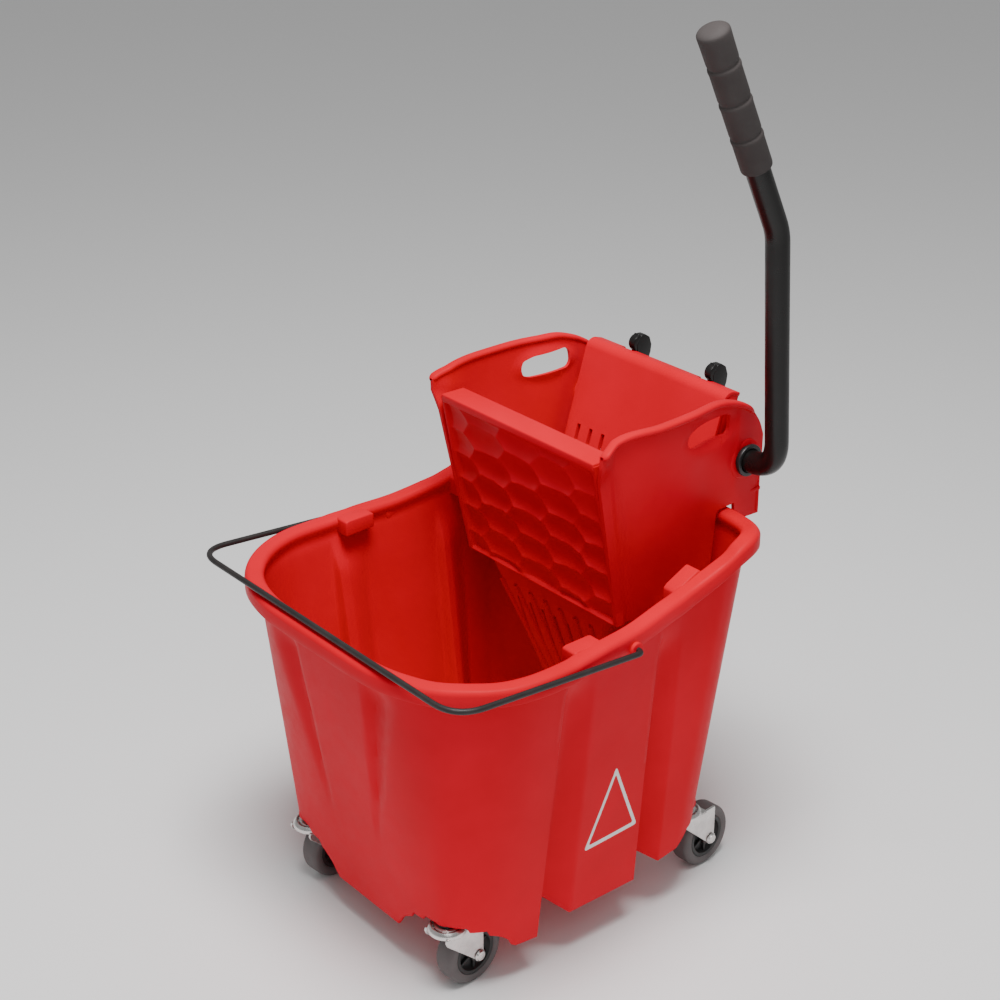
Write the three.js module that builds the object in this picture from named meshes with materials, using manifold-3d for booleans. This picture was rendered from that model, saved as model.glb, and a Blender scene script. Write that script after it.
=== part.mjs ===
// Mop bucket with a side-press wringer: moulded bucket on four swivel casters, a wire bail,
// and a lift-off wringer whose lever turns a cross shaft that swings the press plate.
// Units are millimetres, +Z is up, -Y is the free end of the bucket, +Y the wringer end.
import * as THREE from 'three';
import Module from 'manifold-3d';
import { mergeVertices } from 'three/addons/utils/BufferGeometryUtils.js';

// ---------------------------------------------------------------- driving dimensions
const SHIFT_Y = 15;            // puts the origin under the middle of the whole object
const GAP = 0.3;               // air kept between separate pieces

// bucket
const FLOOR_UNDER = 86;
const FLOOR_TOP = 90;
const WALL = 4;
const LEDGE_Z = 334;           // inner ledge that the wringer's brackets stand on
const LIP_OVERHANG = 12;       // rim edge beyond the outer wall
const LIP_DROP = 18;
const LIP_SKIN = 3.2;
const FLANGE_WIDTH = 20;
const STATIONS = 100;
const GROOVES = [[-104, -62], [26, 60]];          // start and end along Y, both long sides
const GROOVE_DEEP = 19;
const GROOVE_SHALLOW = 7;
// half of the rim, from the middle of the free end to the middle of the wringer end
const RIM = [
  [0, -256, 374], [44, -256, 374], [88, -254, 374], [125, -246, 375], [154, -232, 375],
  [178, -211, 376], [198, -182, 376], [208, -150, 377], [209, -104, 378], [208, -92, 379],
  [206, -74, 380], [205, -62, 381], [201, -18, 383], [196, 26, 390], [195, 38, 392],
  [194.5, 50, 395], [194, 60, 398], [198, 90, 412], [203, 112, 427], [201, 132, 433],
  [190, 150, 432], [170, 166, 428], [146, 177, 424], [120, 183, 422], [60, 187, 418], [0, 188, 418],
];
// the same half of the wall's foot, point for point
const FOOT_Z = 45;
const FOOT = [
  [0, -200], [34, -200], [68, -200], [98, -199], [121, -196], [136, -186], [147, -168],
  [153, -140], [155, -104], [155, -92], [155, -74], [155, -62], [155, -18], [155, 26],
  [155, 38], [155, 50], [155, 60], [155, 76], [154, 90], [148, 106], [137, 119],
  [121, 130], [101, 138], [81, 142], [40, 144], [0, 144],
];
// height of the foot's lower edge along a long side: [y, z]
const FOOT_EDGE = [
  [-300, 45], [-131, 45], [-104, 43], [-90, 80], [-80, 82], [-62, 54], [26, 54],
  [37, 78], [45, 80], [60, 63], [84, 68], [100, 85], [300, 85],
];

// casters
const CASTERS = [['front_right', 118, -189], ['front_left', -118, -189],
  ['rear_right', 118, 133], ['rear_left', -118, 133]];
const WHEEL_R = 35;
const WHEEL_W = 24;
const HUB_R = 24.3;
const TRAIL = 28;              // axle behind the swivel axis
const TRAIL_TURN = THREE.MathUtils.degToRad(5);
const FORK_GAP = 28;           // between the inner faces of the legs
const FORK_SHEET = 2.5;
const CROWN = 71.5;            // underside of the fork's bridge
const CROWN_R = 19.5;
const RACE_TOP = 79;
const SOCKET_FOOT = 80.4;
const SOCKET_R = 8;
const SOCKET_HEAD = 104;
// clear of everything that swivels: [r, z], wheel first, then fork, then race
const CASTER_ROOM = [[65, 20], [65, 46], [60.5, 56], [54, 63], [46, 68.5], [41, 70.5], [41, 77], [24, 78],
  [24, 84]];

// bail
const BAIL_WIRE_R = 3;
const BAIL_X = 212.5;
const BAIL_PIVOT = [-26, 366];
const BAIL_FRONT = [-249, 379.5];
const BAIL_CORNER = 34;

// wringer
const SHAFT = [195, 473];      // y, z of the lever shaft
const PIVOT = [127.5, 344];    // y, z of the press plate's hinge
const PLATE_LEAN = THREE.MathUtils.degToRad(17);
const PLATE_HALF = 104;
const CHAMBER_SKIN = 4;
const PANEL_HALF = 112;
const TUBE_R = 12;
const TUBE_BORE = 10;
const LEVER_X = 165;
const ARM_X = 57;
const ARM_R = 72;
const ARM_LEAN = THREE.MathUtils.degToRad(11.25);
const NOSE_R = 9;

// ---------------------------------------------------------------- finishes
const finish = (color, roughness, metalness = 0) => ({ color, roughness, metalness });
const RED = finish(0xc01d20, 0.42);
const BLACK_PAINT = finish(0x1e1c1c, 0.38);
const GRIP = finish(0x464040, 0.8);
const BLACK_PLASTIC = finish(0x1a1919, 0.55);
const TREAD = finish(0x6e6767, 0.75);
const ZINC = finish(0xaaa8a6, 0.35, 0.9);
const WIRE = finish(0x35302f, 0.45, 0.4);

// ---------------------------------------------------------------- solids
const wasm = await Module();
wasm.setup();

function toSolid(geometry) {
  const bare = geometry.clone();
  for (const name of Object.keys(bare.attributes)) {
    if (name !== 'position') bare.deleteAttribute(name);
  }
  const merged = mergeVertices(bare, 1e-4);
  return new wasm.Manifold(new wasm.Mesh({
    numProp: 3,
    vertProperties: merged.attributes.position.array,
    triVerts: Uint32Array.from(merged.index.array),
  }));
}

function toGeometry(solid) {
  const mesh = solid.getMesh();
  const geometry = new THREE.BufferGeometry();
  geometry.setAttribute('position', new THREE.BufferAttribute(mesh.vertProperties, 3));
  geometry.setIndex(new THREE.BufferAttribute(mesh.triVerts, 1));
  geometry.computeVertexNormals();
  return geometry;
}

const unite = (...solids) => solids.reduce((sum, solid) => sum.add(solid));
const cut = (solid, ...tools) => tools.reduce((rest, tool) => rest.subtract(tool), solid);

function block(x0, x1, y0, y1, z0, z1) {
  const geometry = new THREE.BoxGeometry(x1 - x0, y1 - y0, z1 - z0);
  geometry.translate((x0 + x1) / 2, (y0 + y1) / 2, (z0 + z1) / 2);
  return toSolid(geometry);
}

// round bar from a0 to a1 along X, Y or Z; c holds the other two coordinates in X, Y, Z order
function bar(axis, r, a0, a1, c, sides = 24, r1 = r) {
  const geometry = new THREE.CylinderGeometry(r1, r, a1 - a0, sides);
  geometry.translate(0, (a0 + a1) / 2, 0);
  if (axis === 'x') geometry.rotateZ(-Math.PI / 2).translate(0, c[0], c[1]);
  if (axis === 'y') geometry.translate(c[0], 0, c[1]);
  if (axis === 'z') geometry.rotateX(Math.PI / 2).translate(c[0], c[1], 0);
  return toSolid(geometry);
}

// a YZ outline pushed along X from x0 to x1
function slabX(outline, x0, x1) {
  const shape = outline instanceof THREE.Shape
    ? outline : new THREE.Shape(outline.map(([y, z]) => new THREE.Vector2(y, z)));
  const geometry = new THREE.ExtrudeGeometry(shape, { depth: x1 - x0, bevelEnabled: false, curveSegments: 6 });
  geometry.applyMatrix4(new THREE.Matrix4().set(0, 0, 1, x0, 1, 0, 0, 0, 0, 1, 0, 0, 0, 0, 0, 1));
  return toSolid(geometry);
}

// turned piece about the Z axis: profile of [r, z] points that starts and ends on the axis
function turned(profile, sides = 28) {
  const geometry = new THREE.LatheGeometry(profile.map(([r, z]) => new THREE.Vector2(r, z)), sides);
  geometry.rotateX(Math.PI / 2);
  return toSolid(geometry);
}

// closed skin over a stack of equal loops; each end closes on the middle of its loop
function loft(loops) {
  const count = loops[0].length;
  const points = loops.flat();
  const faces = [];
  for (let j = 0; j + 1 < loops.length; j += 1) {
    for (let i = 0; i < count; i += 1) {
      const a = j * count + i;
      const b = j * count + ((i + 1) % count);
      faces.push(a, b, b + count, a, b + count, a + count);
    }
  }
  for (const [j, flip] of [[0, true], [loops.length - 1, false]]) {
    const middle = points.length;
    const sum = loops[j].reduce((s, p) => s.map((v, k) => v + p[k] / count), [0, 0, 0]);
    points.push(sum);
    for (let i = 0; i < count; i += 1) {
      const a = j * count + i;
      const b = j * count + ((i + 1) % count);
      faces.push(...(flip ? [middle, b, a] : [a, b, middle]));
    }
  }
  const geometry = new THREE.BufferGeometry();
  geometry.setAttribute('position', new THREE.Float32BufferAttribute(points.flat(), 3));
  geometry.setIndex(faces);
  const solid = toSolid(geometry);
  if (solid.volume() > 0) return solid;
  geometry.setIndex(faces.map((_, k) => faces[k - (k % 3) + [0, 2, 1][k % 3]]));
  return toSolid(geometry);
}

// a curved plate between two equal grids of points
function plate(front, back) {
  const rows = front.length;
  const columns = front[0].length;
  const points = [...front.flat(), ...back.flat()];
  const at = (side, j, i) => side * rows * columns + j * columns + i;
  const faces = [];
  const quad = (a, b, c, d) => faces.push(a, b, c, a, c, d);
  for (let j = 0; j + 1 < rows; j += 1) {
    for (let i = 0; i + 1 < columns; i += 1) {
      quad(at(0, j, i), at(0, j, i + 1), at(0, j + 1, i + 1), at(0, j + 1, i));
      quad(at(1, j, i), at(1, j + 1, i), at(1, j + 1, i + 1), at(1, j, i + 1));
    }
  }
  for (let j = 0; j + 1 < rows; j += 1) {
    quad(at(0, j, 0), at(0, j + 1, 0), at(1, j + 1, 0), at(1, j, 0));
    quad(at(0, j + 1, columns - 1), at(0, j, columns - 1), at(1, j, columns - 1), at(1, j + 1, columns - 1));
  }
  for (let i = 0; i + 1 < columns; i += 1) {
    quad(at(0, 0, i + 1), at(0, 0, i), at(1, 0, i), at(1, 0, i + 1));
    quad(at(0, rows - 1, i), at(0, rows - 1, i + 1), at(1, rows - 1, i + 1), at(1, rows - 1, i));
  }
  const geometry = new THREE.BufferGeometry();
  geometry.setAttribute('position', new THREE.Float32BufferAttribute(points.flat(), 3));
  geometry.setIndex(faces);
  const solid = toSolid(geometry);
  if (solid.volume() > 0) return solid;
  geometry.setIndex(faces.map((_, k) => faces[k - (k % 3) + [0, 2, 1][k % 3]]));
  return toSolid(geometry);
}

// straight stretches joined by round bends; bends[k] is the radius at the k-th inner point
function bentPath(points, bends) {
  const path = new THREE.CurvePath();
  let from = points[0];
  for (let k = 1; k + 1 < points.length; k += 1) {
    const corner = points[k];
    const into = corner.clone().sub(points[k - 1]).normalize();
    const out = points[k + 1].clone().sub(corner).normalize();
    const half = into.angleTo(out) / 2;
    const back = bends[k - 1] * Math.tan(half);
    const start = corner.clone().addScaledVector(into, -back);
    const end = corner.clone().addScaledVector(out, back);
    path.add(new THREE.LineCurve3(from, start));
    path.add(new THREE.QuadraticBezierCurve3(start, corner, end));
    from = end;
  }
  path.add(new THREE.LineCurve3(from, points[points.length - 1]));
  return path;
}

function tube(path, steps, r, bore, sides) {
  const shape = new THREE.Shape();
  shape.absarc(0, 0, r, 0, 2 * Math.PI, false);
  if (bore > 0) {
    const hole = new THREE.Path();
    hole.absarc(0, 0, bore, 0, 2 * Math.PI, true);
    shape.holes.push(hole);
  }
  return toSolid(new THREE.ExtrudeGeometry(shape, {
    steps, extrudePath: path, bevelEnabled: false, curveSegments: sides,
  }));
}

const mirrorX = (solid) => solid.mirror([1, 0, 0]);
const lerp = THREE.MathUtils.lerp;
const clamp = THREE.MathUtils.clamp;
const vector = (x, y, z) => new THREE.Vector3(x, y, z);

// value at x on a polyline of [x, value] points
function along(knots, x) {
  const last = knots.length - 1;
  if (x <= knots[0][0]) return knots[0][1];
  if (x >= knots[last][0]) return knots[last][1];
  const k = knots.findIndex((knot) => knot[0] > x);
  const [x0, v0] = knots[k - 1];
  const [x1, v1] = knots[k];
  return lerp(v0, v1, (x - x0) / (x1 - x0));
}

// ---------------------------------------------------------------- bucket
function closedCurve(half) {
  const right = half.map(([x, y, z = 0]) => vector(x, y, z));
  const left = right.slice(1, -1).reverse().map((p) => vector(-p.x, p.y, p.z));
  return new THREE.CatmullRomCurve3([...right, ...left], true, 'centripetal');
}

function outline(half) {
  const curve = closedCurve(half);
  return Array.from({ length: STATIONS }, (_, i) => {
    const p = curve.getPoint(i / STATIONS);
    const t = curve.getTangent(i / STATIONS);
    const n = new THREE.Vector2(t.y, -t.x).normalize();
    return { x: p.x, y: p.y, z: p.z, nx: n.x, ny: n.y };
  });
}

// depth of the side grooves and of the two hollows in the free end
function hollow(x, y, z) {
  const fade = clamp((352 - z) / 30, 0, 1);
  if (Math.abs(x) > 120) {
    const depth = lerp(GROOVE_DEEP, GROOVE_SHALLOW, clamp((z - 60) / 290, 0, 1));
    for (const [y0, y1] of GROOVES) {
      const u = (y - y0) / (y1 - y0);
      if (u > 0 && u < 1) return fade * depth * Math.min(1, 5 * Math.min(u, 1 - u));
    }
    return 0;
  }
  if (y > -150) return 0;
  const inner = lerp(36, 53, clamp((z - 126) / 207, 0, 1));
  const outer = lerp(36, 117, clamp((z - 126) / 230, 0, 1));
  if (outer - inner < 1) return 0;
  const u = (Math.abs(x) - inner) / (outer - inner);
  if (u <= 0 || u >= 1) return 0;
  return fade * 0.16 * (outer - inner) * Math.min(1, Math.min(4 * u, 1.6 * (1 - u)));
}

function bucketShell() {
  const rim = outline(RIM);
  const foot = outline(FOOT);
  const each = (make) => rim.map((r, i) => make(r, foot[i]));
  // a point of the wall at height z, moved in by the given amount
  const wallAt = (r, f, z, inset) => {
    const t = (z - FOOT_Z) / (r.z - FOOT_Z);
    const nx = lerp(f.nx, r.nx, t);
    const ny = lerp(f.ny, r.ny, t);
    const x = lerp(f.x, r.x - LIP_OVERHANG * r.nx, t);
    const y = lerp(f.y, r.y - LIP_OVERHANG * r.ny, t);
    const into = inset + hollow(x, y, z);
    return [x - into * nx, y - into * ny, z];
  };
  const rimAt = (inward, down) => each((r) => [r.x - inward * r.nx, r.y - inward * r.ny, r.z - down]);
  const edge = (f) => Math.min(along(FOOT_EDGE, f.y), FLOOR_UNDER - 1);
  const level = (fraction, inset) => each((r, f) => wallAt(r, f, lerp(96, r.z - 22, fraction), inset));
  const shell = loft([
    each((r, f) => wallAt(r, f, FLOOR_UNDER, WALL)),
    each((r, f) => wallAt(r, f, edge(f), WALL)),
    each((r, f) => wallAt(r, f, edge(f), 0)),
    ...[0, 0.3, 0.6, 0.9].map((fraction) => level(fraction, 0)),
    rimAt(LIP_OVERHANG, LIP_SKIN + 1),
    rimAt(LIP_SKIN, LIP_SKIN + 1),
    rimAt(LIP_SKIN, LIP_DROP),
    rimAt(0, LIP_DROP),
    rimAt(0, 4),
    rimAt(1.3, 1.2),
    rimAt(4, 0),
    rimAt(15, 0),
    rimAt(18.7, 1.5),
    rimAt(FLANGE_WIDTH, 6),
    rimAt(LIP_OVERHANG + WALL + 0.6, 16),
    ...[0.9, 0.5, 0].map((fraction) => level(fraction, WALL)),
    each((r, f) => wallAt(r, f, FLOOR_TOP, WALL + 4)),
  ]);
  const core = loft([60, FLOOR_UNDER, 130].map((z) => each((r, f) => wallAt(r, f, z, 0.5))));
  const room = turned([[0, 20], ...CASTER_ROOM, [0, 84]], 32);
  const rooms = CASTERS.map(([, x, y]) => room.translate([x, y, 0]));
  const bosses = CASTERS.map(([, x, y]) => core.intersect(bar('z', 13, 83.5, 112, [x, y], 16, 10.5)));
  const bores = CASTERS.map(([, x, y]) => bar('z', SOCKET_R + GAP, 80, SOCKET_HEAD + 1, [x, y], 16));
  const near = [
    slabX([[-92, 364], [-58, 366], [-58, 379], [-92, 378.5]], 174, 192),      // front keeper
    slabX([[48, 374], [80, 386], [80, 406], [48, 391.5]], 162, 186),          // wringer guide
    block(160, 182, 82, 106, 320, LEDGE_Z),                                    // wringer ledge
    bar('x', 7, 184, 206, BAIL_PIVOT, 16),                                     // bail ear
  ];
  const earBore = bar('x', BAIL_WIRE_R + 0.5, 195, 212, BAIL_PIVOT, 16);
  const walls = cut(shell, ...rooms);
  return cut(unite(walls, ...bosses, ...near, ...near.map(mirrorX)), ...bores, earBore, mirrorX(earBore));
}

// ---------------------------------------------------------------- casters
// made about the swivel axis with the wheel trailing towards +Y, then turned
function placeCaster(solid, x, y) {
  return solid.rotate([0, 0, THREE.MathUtils.radToDeg(TRAIL_TURN)]).translate([x, y, 0]);
}

function casterSocket() {
  return cut(
    unite(bar('z', 10.5, SOCKET_FOOT, 83.5 - GAP, [0, 0], 16), bar('z', SOCKET_R, SOCKET_FOOT, SOCKET_HEAD, [0, 0], 16)),
    bar('z', 5 + GAP, SOCKET_FOOT - 5, SOCKET_HEAD - 2, [0, 0], 12),
  );
}

function casterStem() {
  return turned([[0, 66.4], [7, 66.4], [7, 71.2], [4.5, 71.2], [4.5, 76], [12.6, 76], [13.8, 77.6], [12.6, 79.6],
    [5, 80.1], [5, 99], [3.5, 101], [0, 101]], 12);
}

function casterFork() {
  const legOut = FORK_GAP / 2 + FORK_SHEET;
  const top = CROWN + FORK_SHEET;
  const leg = [[-15, top], [-15, 67], [17, 33], [23, 29], [29, 28.6], [34, 33], [34, top]];
  const legs = [slabX(leg, FORK_GAP / 2, legOut), slabX(leg, -legOut, -FORK_GAP / 2)];
  const crown = bar('z', CROWN_R, CROWN, top, [0, 0], 16);
  const bridge = block(-legOut, legOut, -10, 20, CROWN, top);
  const race = cut(bar('z', CROWN_R, top - 1, RACE_TOP, [0, 0], 16, 17), bar('z', 15, top, 90, [0, 0], 16));
  const axleHole = bar('x', 4 + GAP, -30, 30, [TRAIL, WHEEL_R], 10);
  const stemHole = bar('z', 5.5, 60, 90, [0, 0], 12);
  return cut(unite(crown, bridge, race, ...legs), axleHole, stemHole);
}

function wheelTread() {
  const half = WHEEL_W / 2;
  const ring = turned([[0, -half], [HUB_R + 6, -half], [WHEEL_R - 2, -half + 3], [WHEEL_R, -half + 7],
    [WHEEL_R, half - 7], [WHEEL_R - 2, half - 3], [HUB_R + 6, half], [0, half]], 24);
  return cut(ring, bar('z', HUB_R + GAP, -20, 20, [0, 0], 24))
    .rotate([0, 90, 0]).translate([0, TRAIL, WHEEL_R]);
}

function wheelHub() {
  const half = WHEEL_W / 2;
  const disc = turned([[0, -half - 1], [8, -half - 1], [8, -5], [18.5, -5], [20.5, -half + 1], [HUB_R, -half + 1],
    [HUB_R, half - 1], [20.5, half - 1], [18.5, 5], [8, 5], [8, half + 1], [0, half + 1]], 12);
  return cut(disc, bar('z', 4 + GAP, -20, 20, [0, 0], 10))
    .rotate([0, 90, 0]).translate([0, TRAIL, WHEEL_R]);
}

function axleBolt() {
  const outer = FORK_GAP / 2 + FORK_SHEET;
  return unite(bar('x', 4, -outer - 6, outer + 1.4, [TRAIL, WHEEL_R], 10),
    bar('x', 6.5, outer + GAP, outer + 3.4, [TRAIL, WHEEL_R], 12, 5));
}

function axleNut() {
  const outer = FORK_GAP / 2 + FORK_SHEET;
  return cut(bar('x', 7, -outer - 5, -outer - GAP, [TRAIL, WHEEL_R], 6),
    bar('x', 4 + GAP, -40, 0, [TRAIL, WHEEL_R], 10));
}

// ---------------------------------------------------------------- bail
function bailWire() {
  const [py, pz] = BAIL_PIVOT;
  const [fy, fz] = BAIL_FRONT;
  const points = [
    vector(198, py, pz), vector(BAIL_X, py, pz), vector(BAIL_X, fy, fz),
    vector(-BAIL_X, fy, fz), vector(-BAIL_X, py, pz), vector(-198, py, pz),
  ];
  const path = bentPath(points, [7, BAIL_CORNER, BAIL_CORNER, 7]);
  return tube(path, 74, BAIL_WIRE_R, 0, 4);
}

// ---------------------------------------------------------------- wringer housing
const WALL_TOP = [[-10, 534], [5, 541], [20, 545], [65, 546], [110, 547], [140, 547], [155, 546],
  [170, 542], [185, 533], [203, 525], [216, 510], [226, 492]];
const WALL_LOW = [[-10, 521], [28, 335], [148, 335], [153, 346], [156, 372], [158, 430], [204, 436],
  [209, 404], [226, 401]];
const WALL_X_TOP = [[-10, 127], [5, 128], [20, 129], [65, 134], [110, 132], [140, 127], [170, 125],
  [200, 121], [226, 115]];
const WALL_X_LOW = [[-10, 117], [148, 117], [226, 113]];

function sideWallX(y, z) {
  return lerp(along(WALL_X_LOW, y), along(WALL_X_TOP, y), clamp((z - 335) / 205, 0, 1));
}

function sideWall() {
  const ys = [-10, -2, 8, 28, 65, 110, 140, 148, 153, 156, 158, 185, 204, 209, 216, 226];
  const rows = 4;
  const face = (skin) => ys.map((y) => Array.from({ length: rows }, (_, k) => {
    const z = lerp(along(WALL_LOW, y), along(WALL_TOP, y), k / (rows - 1));
    return [sideWallX(y, z) - skin, y, z];
  }));
  return plate(face(0), face(CHAMBER_SKIN));
}

// hand hole: round at the front end, squarer at the rear
function handHole() {
  const hole = new THREE.Shape();
  hole.moveTo(116, 506);
  hole.lineTo(165, 508);
  hole.quadraticCurveTo(169, 508, 169, 513);
  hole.lineTo(168, 527);
  hole.quadraticCurveTo(167, 531, 163, 531);
  hole.lineTo(121, 529);
  hole.quadraticCurveTo(105, 527, 105, 517);
  hole.quadraticCurveTo(105, 506, 116, 506);
  return slabX(hole, 100, 150);
}

// rolled lip along the top of a side wall
function topLip() {
  const ys = WALL_TOP.map(([y]) => y).filter((y) => y < 190);
  const loops = ys.map((y) => {
    const z = along(WALL_TOP, y);
    const x = sideWallX(y, z);
    return [[x - CHAMBER_SKIN, y, z - 4], [x + 3, y, z - 4], [x + 4, y, z - 2], [x + 3, y, z + 0.4],
      [x - CHAMBER_SKIN, y, z + 0.4]];
  });
  return loft(loops);
}

// the leaning front panel: a deep hollow box, open underneath
function frontPanel() {
  const outer = slabX([[-8, 521], [28, 335], [37, 335], [21, 521]], -PANEL_HALF - 6, PANEL_HALF + 6);
  const pocket = slabX([[-1, 517], [28, 350], [31.4, 330], [34.2, 330], [31.5, 350], [17.4, 517]],
    -PANEL_HALF + 2, PANEL_HALF - 2);
  return cut(outer, pocket);
}

function wringerFrame() {
  const right = unite(sideWall(), topLip());
  const left = mirrorX(right);
  const floor = cut(
    block(-115, 115, 32, 112, 335, 339),
    ...Array.from({ length: 9 }, (_, k) => block(-96 + 24 * k - 7, -96 + 24 * k + 7, 44, 100, 330, 345)),
  );
  const hook = slabX([[204, 428], [226, 428], [226, 432], [204, 432]], -116, 116);
  const backTie = slabX([[222, 404], [226, 401], [226, 492], [222, 494]], -116, 116);
  const lugs = [block(112, 173, 86, 104, LEDGE_Z + GAP, LEDGE_Z + 5)];
  const ears = [bar('x', 11, 109, 117, PIVOT, 20), bar('x', 21, 112, 122, SHAFT, 24)];
  const body = unite(right, left, frontPanel(), floor, hook, backTie, ...lugs, ...lugs.map(mirrorX),
    ...ears, ...ears.map(mirrorX));
  return cut(body, handHole(), mirrorX(handHole()), bar('x', 14 + GAP, -150, 150, SHAFT, 28),
    bar('x', 4 + GAP, -150, 150, PIVOT, 16));
}

function drainHopper() {
  const ring = (hx, y0, y1, z) => [[-hx, y0, z], [hx, y0, z], [hx, y1, z], [-hx, y1, z]];
  const outer = loft([ring(66, 84, 132, 190), ring(86, 42, 140, 310), ring(104, 38, 141, 334.6)]);
  const inner = loft([ring(63, 87, 129, 189), ring(83, 45, 137, 311), ring(101, 41, 138, 336)]);
  const slots = Array.from({ length: 7 }, (_, k) => block(-60 + 20 * k - 3, -60 + 20 * k + 3, 30, 110, 215, 292));
  return cut(outer, inner, ...slots, bar('x', 12, -140, 140, PIVOT, 20));
}

// ---------------------------------------------------------------- press plate, about its hinge
// u runs up the plate, n runs back from it; both from the hinge's centre line
function platePoint(u, n) {
  const s = Math.sin(PLATE_LEAN);
  const c = Math.cos(PLATE_LEAN);
  return [PIVOT[0] + u * s + n * c, PIVOT[1] + u * c - n * s];
}

function plateSlab(corners, x0, x1) {
  return slabX(corners.map(([u, n]) => platePoint(u, n)), x0, x1);
}

function pressPlate() {
  const skin = plateSlab([[0, -7], [200, -7], [205, -5], [207, 0], [207, 14], [203, 14], [203, -1], [0, -1]],
    -PLATE_HALF, PLATE_HALF);
  const ribs = [-98, -76, -38, 0, 38, 76, 98].map((x) => plateSlab(
    [[0, -2], [203.5, -2], [203.5, 7], [0, 7]], x - 2, x + 2));
  const pads = [-ARM_X, ARM_X].map((x) => plateSlab([[110, -2], [203.5, -2], [203.5, 7], [110, 7]], x - 9, x + 9));
  const barrel = bar('x', 8, -PLATE_HALF, PLATE_HALF, PIVOT, 24);
  const slots = [];
  for (const u of [60, 96]) {
    for (let k = 0; k < 10; k += 1) {
      const x = -85.5 + 19 * k;
      if (Math.abs(Math.abs(x) - 38) > 5 && Math.abs(Math.abs(x) - 76) > 5) {
        slots.push(plateSlab([[u, -9], [u + 18, -9], [u + 18, 1], [u, 1]], x - 2.5, x + 2.5));
      }
    }
  }
  // the rolled edge is notched where the crank noses come down over it
  const notches = [-ARM_X, ARM_X].map((x) => plateSlab([[200, 7], [209, 7], [209, 16], [200, 16]], x - 9, x + 9));
  return cut(unite(skin, barrel, ...ribs, ...pads), ...slots, ...notches, bar('x', 4 + GAP, -150, 150, PIVOT, 16));
}

// ---------------------------------------------------------------- lever and shaft
const GRIP_LOW = vector(LEVER_X, 142.5, 792);
const GRIP_TOP = vector(LEVER_X, 76, 928);
const TUBE_IN_GRIP = 116;

function leverPath() {
  const end = GRIP_LOW.clone().lerp(GRIP_TOP, TUBE_IN_GRIP / GRIP_LOW.distanceTo(GRIP_TOP));
  return bentPath([
    vector(96, SHAFT[0], SHAFT[1]), vector(LEVER_X, SHAFT[0], SHAFT[1]),
    vector(LEVER_X, 175.6, 724.4), end,
  ], [35, 60]);
}

// stands a piece made along +Z on the grip's axis
function alongGrip(solid) {
  const lean = Math.atan2(GRIP_LOW.y - GRIP_TOP.y, GRIP_TOP.z - GRIP_LOW.z);
  return solid.rotate([THREE.MathUtils.radToDeg(lean), 0, 0]).translate([LEVER_X, GRIP_LOW.y, GRIP_LOW.z]);
}

function leverGrip() {
  const length = GRIP_TOP.distanceTo(GRIP_LOW);
  const profile = [[0, 0], [14.2, 0], [15.2, 1.5]];
  for (let k = 1; k < 4; k += 1) {
    const z = (k * length) / 4 - 2;
    profile.push([15.8, z - 1.5], [14.6, z], [14.6, z + 1.5], [15.8, z + 2.5]);
  }
  profile.push([16, length - 10], [15, length - 4], [11, length - 0.8], [0, length]);
  const bore = bar('z', TUBE_R + GAP, -5, TUBE_IN_GRIP + 2, [0, 0], 16);
  return alongGrip(cut(turned(profile, 16), bore));
}

function torqueShaft() {
  return bar('x', TUBE_BORE - GAP - 0.1, -128, 120, SHAFT, 20);
}

function shaftBush() {
  const flange = bar('x', 17, 125.4, 129, SHAFT, 24);
  const sleeve = bar('x', 14, 108, 126, SHAFT, 24);
  return cut(unite(flange, sleeve), bar('x', TUBE_R + 0.5, 100, 135, SHAFT, 20));
}

function shaftCap() {
  const cap = bar('x', 14, -135, -108, SHAFT, 24);
  return cut(cap, bar('x', TUBE_BORE, -130, -100, SHAFT, 20));
}

// cast arm on the shaft: leans back, then hooks forward to a round nose on the plate's pad
function crankArm(x) {
  const polar = (r, lean) => [SHAFT[0] + r * Math.sin(lean), SHAFT[1] + r * Math.cos(lean)];
  const [noseY, noseZ] = polar(ARM_R, ARM_LEAN);
  const hub = bar('x', 17, x - 8, x + 8, SHAFT, 24);
  const nose = bar('x', NOSE_R, x - 6, x + 6, [noseY, noseZ], 20);
  const arm = slabX([[184, 484], [206, 484], [221, 520], [226, 538], [223, 548], [214, 552.5], [noseY, noseZ + 7],
    [noseY - 4, noseZ - 8], [206, 530], [199, 512]], x - 5, x + 5);
  return cut(unite(hub, arm, nose), bar('x', TUBE_BORE, x - 20, x + 20, SHAFT, 20));
}

// coil that brings the lever back, wound round the shaft beside each arm
function returnSpring(x0, x1) {
  const turns = 3;
  const points = [];
  for (let k = 0; k <= turns * 10; k += 1) {
    const a = (k / 10) * 2 * Math.PI;
    points.push(vector(lerp(x0, x1, k / (turns * 10)), SHAFT[0] + 13.5 * Math.sin(a), SHAFT[1] + 13.5 * Math.cos(a)));
  }
  return tube(new THREE.CatmullRomCurve3(points), 36, 1.5, 0, 3);
}

// ---------------------------------------------------------------- assembly
const assembly = new THREE.Group();
assembly.position.set(0, SHIFT_Y, 0);

function add(name, solid, look) {
  const material = new THREE.MeshStandardMaterial(look);
  const mesh = new THREE.Mesh(toGeometry(solid), material);
  mesh.name = name;
  assembly.add(mesh);
}

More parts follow.
